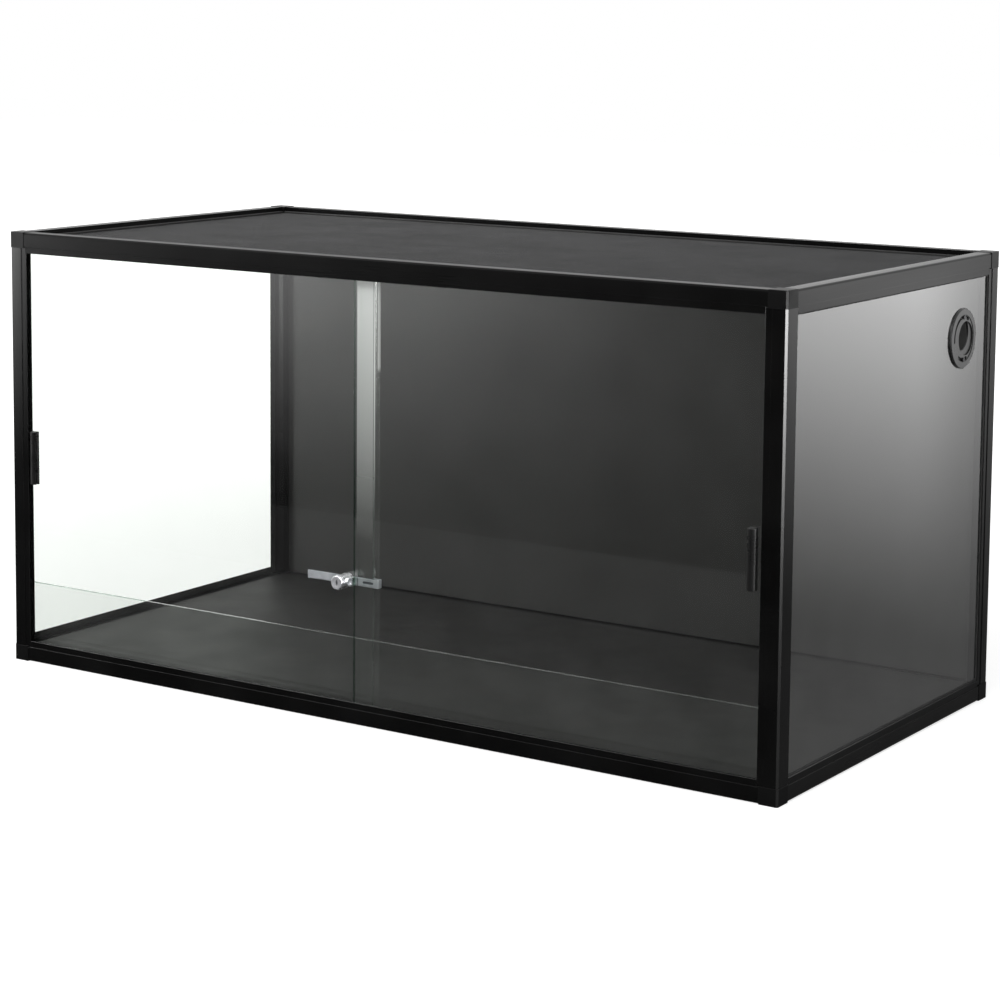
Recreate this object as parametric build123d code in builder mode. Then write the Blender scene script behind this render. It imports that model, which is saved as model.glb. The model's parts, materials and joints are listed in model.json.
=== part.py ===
from build123d import *
import os

# A knock-down terrarium: black aluminium posts and rails pushed onto plastic corner
# connectors, with glass sides, two sliding glass doors in a double track, a mesh top and
# a lock that clips over the inner door.
# Millimetres. X to the right, Y to the back, Z up. The origin is on the floor, at the
# centre of the four corner soles.

# ---------------------------------------------------------------- driving dimensions
width = 1219.0  # outside, over the corner connectors
depth = 610.0
height = 610.0

connector_plan = 26.0  # side of the visible corner block, seen from above
connector_height = 22.0
connector_proud = 0.6  # the block stands this far outside the tubes
edge_radius = 3.0  # rounded outer edge of tubes and corner blocks

tube_size = 20.0  # square tube of every frame member
tube_wall = 1.5
lip_setback = 1.0  # the lip lies this far behind the tube's outer face
lip_thickness = 1.4
lip_reach = 8.8  # how far the lip stands past the tube
lip_tip_chamfer = 0.4
spigot_length = 32.0  # part of the connector that fills the tube's end
spigot_fit = 0.15  # clearance on each side of a spigot
spigot_wall = 3.0
spigot_lead = 1.2  # chamfer that starts the spigot into the tube
sole_chamfer = 0.6  # round the foot of a corner block

joint_gap = 0.2  # between frame pieces that meet end to end
seat_gap = 0.3  # between loose pieces and what holds them

gasket_thickness = 1.5
gasket_overhang = 2.0  # how far the gasket shows past the lip
side_glass_thickness = 4.0
back_panel_thickness = 3.0
base_panel_thickness = 6.0
dam_thickness = 4.0
dam_top = 110.0  # height of the dam's top edge above the floor

screen_frame_height = 4.2
screen_frame_width = 8.0
screen_mesh_thickness = 0.8
screen_margin = 12.0  # plain border of the mesh, held under the bead
screen_cells_wide = 10  # coarse grid that stands for the fine wires
screen_cells_deep = 5
screen_cell_bar = 4.0
screen_bead_height = 2.7
screen_bead_width = 5.0

door_thickness = 4.0
door_overlap = 27.0  # how far the two doors overlap in the middle
door_end_gap = 0.5
door_edge_radius = 0.6  # ground and polished edges
edge_strip_width = 8.5  # clear strip along the inner door's free edge
edge_strip_thickness = 3.6
groove_width = 4.6
track_outer_wall = 0.8
track_middle_wall = 2.6
track_web = 1.6  # floor of the bottom track, roof of the top one
bottom_groove_depth = 4.0
top_groove_depth = 7.0
lift_gap = 0.2  # spare height when a door is lifted out of the bottom groove

handle_width = 11.2
handle_thickness = 9.5
handle_height = 75.0
handle_foot = 1.4
handle_waist = 0.9  # how deep each flank is hollowed for the fingertips
handle_nose_radius = 2.2
handle_end_chamfer = 0.6
handle_middle = 292.0  # height of the handles' middle above the floor
left_handle_gap = 0.4  # from the post's lip to the left handle
right_handle_gap = 4.8  # from the post's lip to the right handle

bar_thickness = 1.5
bar_height = 11.0
bar_length = 112.5  # from the inside of its hook to its free end
bar_middle = 188.3  # height of the lock above the floor
bar_hook_leg = 12.0
bar_bend_radius = 1.2
tooth_pitch = 3.0
tooth_depth = 1.8
tooth_count = 24
tooth_start = 3.0  # plain end before the first tooth
mark_length = 17.0  # sunk oblong near the hook, which stiffens the strip
mark_width = 3.2
mark_depth = 0.4
mark_inset = 15.0  # from the hook to the middle of the oblong
crease_width = 1.4  # groove across the strip, beside the oblong
crease_inset = 31.5

barrel_radius = 9.5
barrel_length = 25.0
barrel_back_wall = 0.8  # wall of the barrel behind the strip
barrel_slide_fit = 0.1  # clearance all round the strip
barrel_door_gap = 0.3  # from the barrel's back to the inner door
barrel_rim = 1.2  # chamfer round the barrel's front end
barrel_nose_length = 3.5  # from the barrel's side to the outer door's edge
barrel_nose_height = 11.0
barrel_nose_front = 2.4  # depth of the nose's front face behind the frame's front
barrel_ring_width = 1.6  # turned groove round the barrel
barrel_ring_depth = 0.8
barrel_ring_place = 3.4
barrel_boss_radius = 6.0  # round boss on the barrel's side, hollow at its end
barrel_boss_hollow = 3.8
barrel_boss_sink = 1.5
barrel_boss_place = 12.0  # from the barrel's front end to the boss's middle
plug_radius = 6.0
plug_fit = 0.05
plug_length = 21.0
plug_sink = 0.6
keyhole_length = 7.5
keyhole_width = 1.8
keyhole_boss_radius = 1.7
keyhole_depth = 14.0

vent_from_back = 107.0
vent_from_top = 107.0
vent_flange_radius = 39.75
vent_flange_thickness = 3.0
vent_flange_edge = 1.2
vent_recess_radius = 31.0
vent_sleeve_wall = 1.6
vent_glass_gap = 0.4  # round the sleeve, in the hole of the glass
vent_plate_thickness = 1.6
vent_plate_step = 0.6  # the plate's face stands this far outside the glass
vent_disc_thickness = 1.6
vent_disc_gap = 0.1
vent_disc_radius = 30.6
vent_hole_radius = 22.5  # the round hole of both plates
vent_hole_offset = 7.5  # eccentricity of both holes
vent_plate_angle = 116.0  # direction of the fixed plate's hole, from +Y towards +Z
vent_disc_angle = -4.0  # direction of the turning disc's hole, where it rests
vent_turn_low = -20.0
vent_turn_high = 30.0
vent_long_slot_end = 185.0  # the upper slot runs on round the left side
vent_boss_radius = 1.9
vent_boss_circle = 28.0
vent_slot_gap = 0.3
vent_head_radius = 2.8
vent_head_height = 1.6
vent_driver_width = 0.8
vent_driver_depth = 0.7
vent_screw_radius = 1.3
vent_screw_fit = 0.1
vent_clamp_radius = 38.0
vent_clamp_thickness = 2.6
vent_ear_radius = 4.2
vent_post_radius = 2.6

# ---------------------------------------------------------------- derived dimensions
half_width = width / 2
half_depth = depth / 2
tube_inner = connector_proud + tube_size  # depth of a tube's inner face in the object
tube_middle = connector_proud + tube_size / 2
lip_edge = tube_inner + lip_reach
lip_back = connector_proud + lip_setback + lip_thickness
ledge_offset = connector_height - base_panel_thickness - lip_thickness - connector_proud
ledge_height = connector_proud + ledge_offset + lip_thickness
glazing_face = lip_back + gasket_thickness
glazing_low = connector_height + seat_gap
glazing_high = height - glazing_low
glazing_half_width = half_width - tube_inner - 2 * joint_gap
glazing_half_depth = half_depth - tube_inner - 2 * joint_gap
block_free_width = half_width - connector_plan - seat_gap
block_free_depth = half_depth - connector_plan - seat_gap

outer_groove = lip_back + joint_gap + track_outer_wall + groove_width / 2
inner_groove = outer_groove + groove_width + track_middle_wall
track_depth = 2 * (track_outer_wall + groove_width) + track_middle_wall
outer_door_front = outer_groove - door_thickness / 2
outer_door_back = outer_groove + door_thickness / 2
inner_door_front = inner_groove - door_thickness / 2
inner_door_back = inner_groove + door_thickness / 2
door_width = half_width - tube_inner - door_end_gap + door_overlap / 2
door_low = tube_inner + track_web + seat_gap
door_high = height - tube_inner - track_web - seat_gap - bottom_groove_depth - lift_gap
door_edge = door_overlap / 2
hook_edge = door_edge + edge_strip_width

bar_back = inner_door_front - barrel_door_gap - barrel_back_wall - barrel_slide_fit
bar_front = bar_back - bar_thickness
barrel_back = inner_door_front - barrel_door_gap
barrel_middle = -door_edge - seat_gap - barrel_nose_length - barrel_radius

vent_y = half_depth - vent_from_back
vent_z = height - vent_from_top
vent_glass_face = half_width - glazing_face
vent_plate_face = vent_glass_face + vent_plate_step
vent_plate_back = vent_plate_face - vent_plate_thickness
vent_disc_low = vent_plate_face + vent_disc_gap
vent_disc_high = vent_disc_low + vent_disc_thickness
vent_boss_top = vent_disc_high + vent_disc_gap
vent_glass_hole = vent_recess_radius + vent_sleeve_wall + vent_glass_gap
vent_glass_back = vent_glass_face - side_glass_thickness

mid_height = Plane.XY.offset(height / 2)
os.makedirs("parts", exist_ok=True)


def front(distance):
    """Y of a plane that lies this far behind the frame's front."""
    return distance - half_depth


def save(piece, name):
    piece.label = name
    export_step(piece, f"parts/{name}.step")


def save_flipped(piece, name, flips):
    """Writes the piece as it is made and mirrored, one file for each named place."""
    for place, planes in flips.items():
        with BuildPart() as copy:
            add(piece)
            for plane in planes:
                mirror(about=plane, mode=Mode.REPLACE)
        save(copy.part, f"{name}_{place}")


# ---------------------------------------------------------------- frame members
def tube_section():
    """Hollow square tube with its rounded outer corner at the sketch's origin."""
    with BuildSketch() as section:
        Rectangle(tube_size, tube_size, align=(Align.MIN, Align.MIN))
        fillet(section.vertices().group_by(Axis.X)[0].sort_by(Axis.Y)[0], edge_radius)
        with Locations((tube_size / 2, tube_size / 2)):
            bore = tube_size - 2 * tube_wall
            Rectangle(bore, bore, mode=Mode.SUBTRACT)
    return section.sketch


def lip_section():
    """Thin lip that stands past the tube, set back from its outer face."""
    with BuildSketch() as section:
        with Locations((lip_setback, tube_size)):
            Rectangle(lip_thickness, lip_reach, align=(Align.MIN, Align.MIN))
        chamfer(section.vertices().group_by(Axis.Y)[-1], lip_tip_chamfer)
    return section.sketch


def ledge_section():
    """Shelf on the tube's inner face that carries the base panel or the screen."""
    with BuildSketch() as section:
        with Locations((tube_size, ledge_offset)):
            Rectangle(lip_reach, lip_thickness, align=(Align.MIN, Align.MIN))
        chamfer(section.vertices().group_by(Axis.X)[-1], lip_tip_chamfer)
    return section.sketch


# A front left post. Its two lips cover the edges of the door and of the side glass.
post_length = height - 2 * connector_height
post_origin = (-half_width + connector_proud, front(connector_proud), height / 2)
with BuildPart() as post:
    with BuildSketch(Plane(post_origin)):
        add(tube_section())
        add(lip_section())
        add(mirror(lip_section(), about=Plane((0, 0, 0), x_dir=(1, 1, 0), z_dir=(1, -1, 0))))
    extrude(amount=post_length / 2, both=True)

# A bottom front rail. The lip stops at the lips of the posts.
front_tube_length = width - 2 * connector_plan
front_lip_length = width - 2 * (lip_edge + joint_gap)
front_plane = Plane((0, front(connector_proud), connector_proud), x_dir=(0, 1, 0), z_dir=(1, 0, 0))
with BuildPart() as front_rail:
    with BuildSketch(front_plane):
        add(tube_section())
        add(ledge_section())
    extrude(amount=front_tube_length / 2, both=True)
    with BuildSketch(front_plane):
        add(lip_section())
    extrude(amount=front_lip_length / 2, both=True)

# A bottom left rail. Its ledge stops at the ledges of the front and rear rails.
side_tube_length = depth - 2 * connector_plan
side_lip_length = depth - 2 * (lip_edge + joint_gap)
side_origin = (-half_width + connector_proud, 0, connector_proud)
side_plane = Plane(side_origin, x_dir=(1, 0, 0), z_dir=(0, -1, 0))
with BuildPart() as side_rail:
    with BuildSketch(side_plane):
        add(tube_section())
    extrude(amount=side_tube_length / 2, both=True)
    with BuildSketch(side_plane):
        add(lip_section())
        add(ledge_section())
    extrude(amount=side_lip_length / 2, both=True)


# ---------------------------------------------------------------- corner connectors
# The block shows at the corner. Three cored spigots fill the ends of the tubes.
with BuildPart() as connector:
    block_corner = Plane((-half_width, -half_depth, 0))
    with BuildSketch(block_corner):
        Rectangle(connector_plan, connector_plan, align=(Align.MIN, Align.MIN))
    extrude(amount=connector_height)
    outer = connector.edges().filter_by(Axis.Z).sort_by(Axis.X)[:2].sort_by(Axis.Y)[0]
    fillet(outer, edge_radius)
    chamfer(connector.edges().group_by(Axis.Z)[0], sole_chamfer)
    spigot = tube_size - 2 * tube_wall - 2 * spigot_fit
    inner_x = connector_plan - half_width
    tube_x = tube_middle - half_width
    tube_y = front(tube_middle)
    roots = [
        Plane((inner_x, tube_y, tube_middle), x_dir=(0, 1, 0), z_dir=(1, 0, 0)),
        Plane((tube_x, front(connector_plan), tube_middle), x_dir=(1, 0, 0), z_dir=(0, 1, 0)),
        Plane((tube_x, tube_y, connector_height)),
    ]
    for root in roots:
        with BuildSketch(root):
            Rectangle(spigot, spigot)
        peg = extrude(amount=spigot_length)
        chamfer(peg.faces().sort_by(Axis(root.origin, root.z_dir))[-1].edges(), spigot_lead)
        with BuildSketch(root.offset(spigot_length)):
            core = spigot - 2 * spigot_wall
            Rectangle(core, core)
        extrude(amount=-spigot_length, mode=Mode.SUBTRACT)

flip_sides = {"left": [], "right": [Plane.YZ]}
flip_ends = {"front": [], "rear": [Plane.XZ]}
flip_levels = {"bottom": [], "top": [mid_height]}
corners = {
    f"{end}_{side}": end_planes + side_planes
    for end, end_planes in flip_ends.items()
    for side, side_planes in flip_sides.items()
}
save_flipped(post.part, "post", corners)
for level, level_planes in flip_levels.items():
    with BuildPart() as placed_front:
        add(front_rail)
        for flip in level_planes:
            mirror(about=flip, mode=Mode.REPLACE)
    save_flipped(placed_front.part, f"{level}_rail", flip_ends)
    with BuildPart() as placed_side:
        add(side_rail)
        for flip in level_planes:
            mirror(about=flip, mode=Mode.REPLACE)
    save_flipped(placed_side.part, f"{level}_rail", flip_sides)
    with BuildPart() as placed_connector:
        add(connector)
        for flip in level_planes:
            mirror(about=flip, mode=Mode.REPLACE)
    save_flipped(placed_connector.part, f"{level}_connector", corners)


# ---------------------------------------------------------------- door tracks
def track(name, foot, direction, groove_depth):
    """Double channel along the front. foot is its height where it meets the tube."""
    tall = track_web + groove_depth
    middle = front(lip_back + joint_gap + track_depth / 2)
    side = Align.MIN if direction > 0 else Align.MAX
    with BuildPart() as channel:
        with BuildSketch(Plane((0, middle, foot), x_dir=(0, 1, 0), z_dir=(1, 0, 0))):
            Rectangle(track_depth, tall, align=(Align.CENTER, side))
            with GridLocations(groove_width + track_middle_wall, 0, 2, 1):
                with Locations((0, direction * tall)):
                    opening = Align.MAX if direction > 0 else Align.MIN
                    Rectangle(
                        groove_width, groove_depth, align=(Align.CENTER, opening), mode=Mode.SUBTRACT
                    )
        extrude(amount=block_free_width, both=True)
    save(channel.part, name)


track("door_track_bottom", tube_inner, 1, bottom_groove_depth)
track("door_track_top", height - tube_inner, -1, top_groove_depth)


# ---------------------------------------------------------------- sliding doors
def door(name, first_x, groove):
    with BuildPart() as pane:
        with BuildSketch(Plane((first_x, front(groove), door_low), x_dir=(1, 0, 0), z_dir=(0, -1, 0))):
            Rectangle(door_width, door_high - door_low, align=(Align.MIN, Align.MIN))
        extrude(amount=door_thickness / 2, both=True)
        rims = pane.edges().filter_by(Axis.Y, reverse=True)
        chamfer(rims, door_edge_radius)
    save(pane.part, name)


door("left_door_glass", door_edge - door_width, inner_groove)
door("right_door_glass", -door_edge, outer_groove)

# A clear strip glued along the inner door's free edge, where the lock's strip hooks on.
with BuildPart() as edge_strip:
    with Locations((door_edge, front(inner_groove), (door_low + door_high) / 2)):
        strip_size = (edge_strip_width, edge_strip_thickness, door_high - door_low)
        Box(*strip_size, align=(Align.MIN, Align.CENTER, Align.CENTER))
    chamfer(edge_strip.edges().filter_by(Axis.Z).group_by(Axis.X)[-1], door_edge_radius)
save(edge_strip.part, "left_door_edge_strip")


def handle(name, left_x, door_front):
    """Finger pull glued to a door: wide foot, hollowed flanks and a rounded nose."""
    nose = front(door_front - handle_thickness)
    base = front(door_front)
    foot = base - handle_foot
    right_x = left_x + handle_width
    flank = (nose + handle_nose_radius + foot) / 2
    with BuildPart() as pull:
        with BuildSketch(Plane.XY.offset(handle_middle)):
            with BuildLine():
                left_foot = Line((left_x, base), (left_x, foot))
                left_top = (left_x, nose + handle_nose_radius)
                right_top = (right_x, nose + handle_nose_radius)
                ThreePointArc(left_foot @ 1, (left_x + handle_waist, flank), left_top)
                ThreePointArc(left_top, (left_x + handle_width / 2, nose), right_top)
                ThreePointArc(right_top, (right_x - handle_waist, flank), (right_x, foot))
                Polyline((right_x, foot), (right_x, base), left_foot @ 0)
            make_face()
        extrude(amount=handle_height / 2, both=True)
        ends = pull.faces().filter_by(Axis.Z)
        outline = ends.edges().filter_by(GeomType.CIRCLE)
        chamfer(outline, handle_end_chamfer)
    save(pull.part, name)


handle("left_door_handle", lip_edge + left_handle_gap - half_width, inner_door_front)
right_handle_x = half_width - lip_edge - right_handle_gap - handle_width
handle("right_door_handle", right_handle_x, outer_door_front)


# ---------------------------------------------------------------- lock
# A toothed steel strip hooks round the inner door's edge and passes between the doors.
with BuildPart() as lock_bar:
    hook_end = hook_edge + bar_thickness
    free_end = hook_edge - bar_length
    with BuildSketch(Plane.XY.offset(bar_middle)):
        with BuildLine():
            Polyline(
                (free_end, front(bar_front)),
                (hook_end, front(bar_front)),
                (hook_end, front(inner_door_back + bar_thickness)),
                (hook_edge - bar_hook_leg, front(inner_door_back + bar_thickness)),
                (hook_edge - bar_hook_leg, front(inner_door_back)),
                (hook_edge, front(inner_door_back)),
                (hook_edge, front(bar_back)),
                (free_end, front(bar_back)),
                close=True,
            )
        strip = make_face()
        fillet(strip.vertices().group_by(Axis.X)[-1], bar_bend_radius)
    extrude(amount=bar_height / 2, both=True)
    strip_face = Plane((0, front(bar_front), bar_middle), x_dir=(1, 0, 0), z_dir=(0, -1, 0))
    with BuildSketch(strip_face):
        for tooth in range(tooth_count):
            root_x = free_end + tooth_start + tooth * tooth_pitch
            with BuildLine():
                Polyline(
                    (root_x, -bar_height / 2),
                    (root_x, -bar_height / 2 + tooth_depth),
                    (root_x + tooth_pitch, -bar_height / 2),
                    close=True,
                )
            make_face()
    extrude(amount=-bar_thickness, mode=Mode.SUBTRACT)
    with BuildSketch(strip_face):
        with Locations((hook_edge - mark_inset, 0)):
            SlotOverall(mark_length, mark_width)
        with Locations((hook_edge - crease_inset, 0)):
            Rectangle(crease_width, bar_height)
    extrude(amount=-mark_depth, mode=Mode.SUBTRACT)
save(lock_bar.part, "lock_bar")

# The chromed barrel slides on the strip, and its nose meets the outer door's edge. A round
# boss with a hollow end stands on the same side, in front of the nose.
barrel_axis = Plane(
    (barrel_middle, front(barrel_back), bar_middle), x_dir=(1, 0, 0), z_dir=(0, -1, 0)
)
with BuildPart() as lock_barrel:
    with BuildSketch(barrel_axis):
        Circle(barrel_radius)
    extrude(amount=barrel_length)
    chamfer(lock_barrel.edges().group_by(Axis.Y)[0], barrel_rim)
    nose_start = barrel_back - bar_back + bar_thickness + 2 * barrel_slide_fit
    with BuildSketch(barrel_axis.offset(nose_start)):
        nose_width = barrel_radius + barrel_nose_length
        Rectangle(nose_width, barrel_nose_height, align=(Align.MIN, Align.CENTER))
    extrude(amount=barrel_back - nose_start - barrel_nose_front)
    boss_depth = barrel_back - barrel_length + barrel_boss_place
    with BuildSketch(Plane((barrel_middle, front(boss_depth), bar_middle), z_dir=(1, 0, 0))):
        Circle(barrel_boss_radius)
    boss = extrude(amount=nose_width)
    with BuildSketch(Plane(boss.faces().sort_by(Axis.X)[-1])):
        Circle(barrel_boss_hollow)
    extrude(amount=-barrel_boss_sink, mode=Mode.SUBTRACT)
    with BuildSketch(barrel_axis.offset(barrel_length - barrel_ring_place)):
        Circle(barrel_radius)
        Circle(barrel_radius - barrel_ring_depth, mode=Mode.SUBTRACT)
    extrude(amount=barrel_ring_width, both=True, mode=Mode.SUBTRACT)
    with BuildSketch(barrel_axis.offset(barrel_back_wall)):
        slot_height = bar_height + 2 * barrel_slide_fit
        Rectangle(2 * nose_width, slot_height)
    extrude(amount=bar_thickness + 2 * barrel_slide_fit, mode=Mode.SUBTRACT)
    with BuildSketch(barrel_axis.offset(barrel_length)):
        Circle(plug_radius + plug_fit)
    extrude(amount=-plug_length - plug_sink, mode=Mode.SUBTRACT)
save(lock_barrel.part, "lock_barrel")

# The plug turns with the key. Its keyhole is a slot with a round middle.
plug_face = barrel_axis.offset(barrel_length - plug_sink)
with BuildPart() as lock_plug:
    with BuildSketch(plug_face):
        Circle(plug_radius)
    extrude(amount=-plug_length)
    with BuildSketch(plug_face):
        SlotOverall(keyhole_length, keyhole_width, rotation=90)
        Circle(keyhole_boss_radius)
    extrude(amount=-keyhole_depth, mode=Mode.SUBTRACT)
save(lock_plug.part, "lock_plug")


# ---------------------------------------------------------------- side glass and gaskets
def side_pane():
    with BuildPart() as pane:
        with BuildSketch(Plane((glazing_face - half_width, 0, 0), x_dir=(0, 1, 0), z_dir=(1, 0, 0))):
            with Locations((0, glazing_low)):
                Rectangle(
                    2 * glazing_half_depth,
                    glazing_high - glazing_low,
                    align=(Align.CENTER, Align.MIN),
                )
        extrude(amount=side_glass_thickness)
    return pane


left_glass = side_pane()
save(left_glass.part, "left_side_glass")

with BuildPart() as right_glass:
    add(left_glass)
    mirror(about=Plane.YZ, mode=Mode.REPLACE)
    with BuildSketch(Plane((vent_glass_face, vent_y, vent_z), x_dir=(0, 1, 0), z_dir=(1, 0, 0))):
        Circle(vent_glass_hole)
    extrude(amount=-side_glass_thickness, mode=Mode.SUBTRACT)
save(right_glass.part, "right_side_glass")


def gasket(plane, half_span):
    """Four rubber strips, butted at the corners, between the lips and a pane."""
    strip_width = lip_edge + gasket_overhang - tube_inner - joint_gap
    strip_tall = glazing_high - glazing_low
    strip_low_width = lip_edge + gasket_overhang - glazing_low
    inner_span = 2 * (half_span - tube_inner - joint_gap - strip_width)
    with BuildPart() as strips:
        with BuildSketch(plane):
            for side in (-1, 1):
                with Locations((side * (inner_span + strip_width) / 2, height / 2)):
                    Rectangle(strip_width, strip_tall)
                with Locations((0, height / 2 + side * (strip_tall - strip_low_width) / 2)):
                    Rectangle(inner_span - 2 * joint_gap, strip_low_width)
        extrude(amount=gasket_thickness)
    return strips


left_gasket = gasket(
    Plane((lip_back - half_width, 0, 0), x_dir=(0, 1, 0), z_dir=(1, 0, 0)), half_depth
)
save(left_gasket.part, "left_glass_gasket")
with BuildPart() as right_gasket:
    add(left_gasket)
    mirror(about=Plane.YZ, mode=Mode.REPLACE)
save(right_gasket.part, "right_glass_gasket")
back_gasket = gasket(
    Plane((0, half_depth - lip_back, 0), x_dir=(1, 0, 0), z_dir=(0, -1, 0)), half_width
)
save(back_gasket.part, "back_panel_gasket")


# ---------------------------------------------------------------- panels
with BuildPart() as back_panel:
    with BuildSketch(Plane((0, half_depth - glazing_face, 0), x_dir=(1, 0, 0), z_dir=(0, -1, 0))):
        with Locations((0, height / 2)):
            Rectangle(2 * glazing_half_width, glazing_high - glazing_low)
    extrude(amount=back_panel_thickness)
save(back_panel.part, "back_panel")


def notched_sheet(low, thickness):
    """Flat sheet between the tubes, with its corners cut out round the corner blocks."""
    notch_x = glazing_half_width - block_free_width
    notch_y = glazing_half_depth - block_free_depth
    with BuildPart() as sheet:
        with BuildSketch(Plane.XY.offset(low)):
            Rectangle(2 * glazing_half_width, 2 * glazing_half_depth)
            with GridLocations(
                2 * glazing_half_width - notch_x, 2 * glazing_half_depth - notch_y, 2, 2
            ):
                Rectangle(notch_x, notch_y, mode=Mode.SUBTRACT)
        extrude(amount=thickness)
    return sheet


base_panel = notched_sheet(ledge_height, base_panel_thickness)
save(base_panel.part, "base_panel")

# A low pane behind the doors. It stands on the base panel.
with BuildPart() as dam:
    dam_face = front(tube_inner + seat_gap)
    with BuildSketch(Plane((0, dam_face, connector_height), x_dir=(-1, 0, 0), z_dir=(0, 1, 0))):
        dam_width = 2 * (half_width - glazing_face - side_glass_thickness - seat_gap)
        Rectangle(dam_width, dam_top - connector_height, align=(Align.CENTER, Align.MIN))
    extrude(amount=dam_thickness)
    chamfer(dam.edges().group_by(Axis.Z)[-1].filter_by(Axis.X), door_edge_radius)
save(dam.part, "substrate_dam")


# ---------------------------------------------------------------- screen top
def border(low, strip_width, strip_height):
    """Four strips round the screen, on the ledges of the top rails."""
    with BuildPart() as strips:
        with BuildSketch(Plane.XY.offset(low)):
            with GridLocations(0, 2 * glazing_half_depth - strip_width, 1, 2):
                Rectangle(2 * block_free_width, strip_width)
            with GridLocations(2 * glazing_half_width - strip_width, 0, 2, 1):
                Rectangle(strip_width, 2 * (glazing_half_depth - strip_width - joint_gap))
        extrude(amount=strip_height)
    return strips


screen_low = height - connector_proud - ledge_offset
mesh_low = screen_low + screen_frame_height
screen_frame = border(screen_low, screen_frame_width, screen_frame_height)
save(screen_frame.part, "screen_frame")
with BuildPart() as screen_mesh:
    add(notched_sheet(mesh_low, screen_mesh_thickness))
    cell_width = 2 * (glazing_half_width - screen_margin) / screen_cells_wide
    cell_depth = 2 * (glazing_half_depth - screen_margin) / screen_cells_deep
    with BuildSketch(Plane.XY.offset(mesh_low)):
        with GridLocations(cell_width, cell_depth, screen_cells_wide, screen_cells_deep):
            Rectangle(cell_width - screen_cell_bar, cell_depth - screen_cell_bar)
    extrude(amount=screen_mesh_thickness, mode=Mode.SUBTRACT)
save(screen_mesh.part, "screen_mesh")
screen_bead = border(mesh_low + screen_mesh_thickness, screen_bead_width, screen_bead_height)
save(screen_bead.part, "screen_bead")


# ---------------------------------------------------------------- vent
# A round port in the right glass. A fixed plate and a turning disc each have a round
# hole off their centre, and the two holes together leave an opening shaped like a lens.
def vent_plane(x):
    return Plane((x, vent_y, vent_z), x_dir=(0, 1, 0), z_dir=(1, 0, 0))


def polar(radius, angle):
    turned = Vector(radius, 0).rotate(Axis.Z, angle)
    return turned.X, turned.Y


bosses = [polar(vent_boss_circle, 90), polar(vent_boss_circle, -90)]

# The bosses run in two curved slots of the disc, which also stop its turn.
slot_spans = [
    (90 - vent_turn_high, vent_long_slot_end),
    (-90 - vent_turn_high, -90 - vent_turn_low),
]
slot_lines = [CenterArc((0, 0), vent_boss_circle, first, last - first) for first, last in slot_spans]

with BuildPart() as vent_ring:
    with BuildSketch(vent_plane(vent_glass_face)):
        Circle(vent_flange_radius)
        Circle(vent_recess_radius, mode=Mode.SUBTRACT)
    extrude(amount=vent_flange_thickness)
    flange_rim = vent_ring.edges().group_by(Axis.X)[-1].sort_by(SortBy.RADIUS)[-1]
    chamfer(flange_rim, vent_flange_edge)
    with BuildSketch(vent_plane(vent_glass_back)):
        Circle(vent_recess_radius + vent_sleeve_wall)
        Circle(vent_recess_radius, mode=Mode.SUBTRACT)
    extrude(amount=side_glass_thickness)
    with BuildSketch(vent_plane(vent_plate_back)):
        Circle(vent_recess_radius)
        with Locations(polar(vent_hole_offset, vent_plate_angle)):
            Circle(vent_hole_radius, mode=Mode.SUBTRACT)
    extrude(amount=vent_plate_thickness)
    with BuildSketch(vent_plane(vent_plate_face)):
        with Locations(*bosses):
            Circle(vent_boss_radius)
    extrude(amount=vent_boss_top - vent_plate_face)
    with BuildSketch(vent_plane(vent_boss_top)):
        with Locations(*bosses):
            Circle(vent_screw_radius + vent_screw_fit)
    extrude(amount=vent_plate_back - vent_boss_top, mode=Mode.SUBTRACT)
save(vent_ring.part, "vent_outer_ring")

with BuildPart() as vent_disc:
    with BuildSketch(vent_plane(vent_disc_low)):
        Circle(vent_disc_radius)
        with Locations(polar(vent_hole_offset, vent_disc_angle)):
            Circle(vent_hole_radius, mode=Mode.SUBTRACT)
        for slot_line in slot_lines:
            SlotArc(slot_line, 2 * (vent_boss_radius + vent_slot_gap), mode=Mode.SUBTRACT)
    extrude(amount=vent_disc_thickness)
save(vent_disc.part, "vent_shutter_disc")

with BuildPart() as vent_clamp:
    with BuildSketch(vent_plane(vent_glass_back)):
        Circle(vent_clamp_radius)
        Circle(vent_recess_radius, mode=Mode.SUBTRACT)
        with Locations(*bosses):
            Circle(vent_ear_radius)
    extrude(amount=-vent_clamp_thickness)
    with BuildSketch(vent_plane(vent_glass_back)):
        with Locations(*bosses):
            Circle(vent_post_radius)
    extrude(amount=vent_plate_back - vent_glass_back)
    with BuildSketch(vent_plane(vent_plate_back)):
        with Locations(*bosses):
            Circle(vent_screw_radius + vent_screw_fit)
    extrude(amount=vent_glass_back - vent_clamp_thickness - vent_plate_back, mode=Mode.SUBTRACT)
save(vent_clamp.part, "vent_clamp_ring")

with BuildPart() as vent_screws:
    with BuildSketch(vent_plane(vent_boss_top)):
        with Locations(*bosses):
            Circle(vent_head_radius)
    extrude(amount=vent_head_height)
    with BuildSketch(vent_plane(vent_boss_top + vent_head_height)):
        with Locations(*bosses):
            Rectangle(2 * vent_screw_radius, vent_driver_width)
            Rectangle(vent_driver_width, 2 * vent_screw_radius)
    extrude(amount=-vent_driver_depth, mode=Mode.SUBTRACT)
    with BuildSketch(vent_plane(vent_boss_top)):
        with Locations(*bosses):
            Circle(vent_screw_radius)
    extrude(amount=vent_glass_back - vent_clamp_thickness - vent_boss_top)
save(vent_screws.part, "vent_screws")
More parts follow.
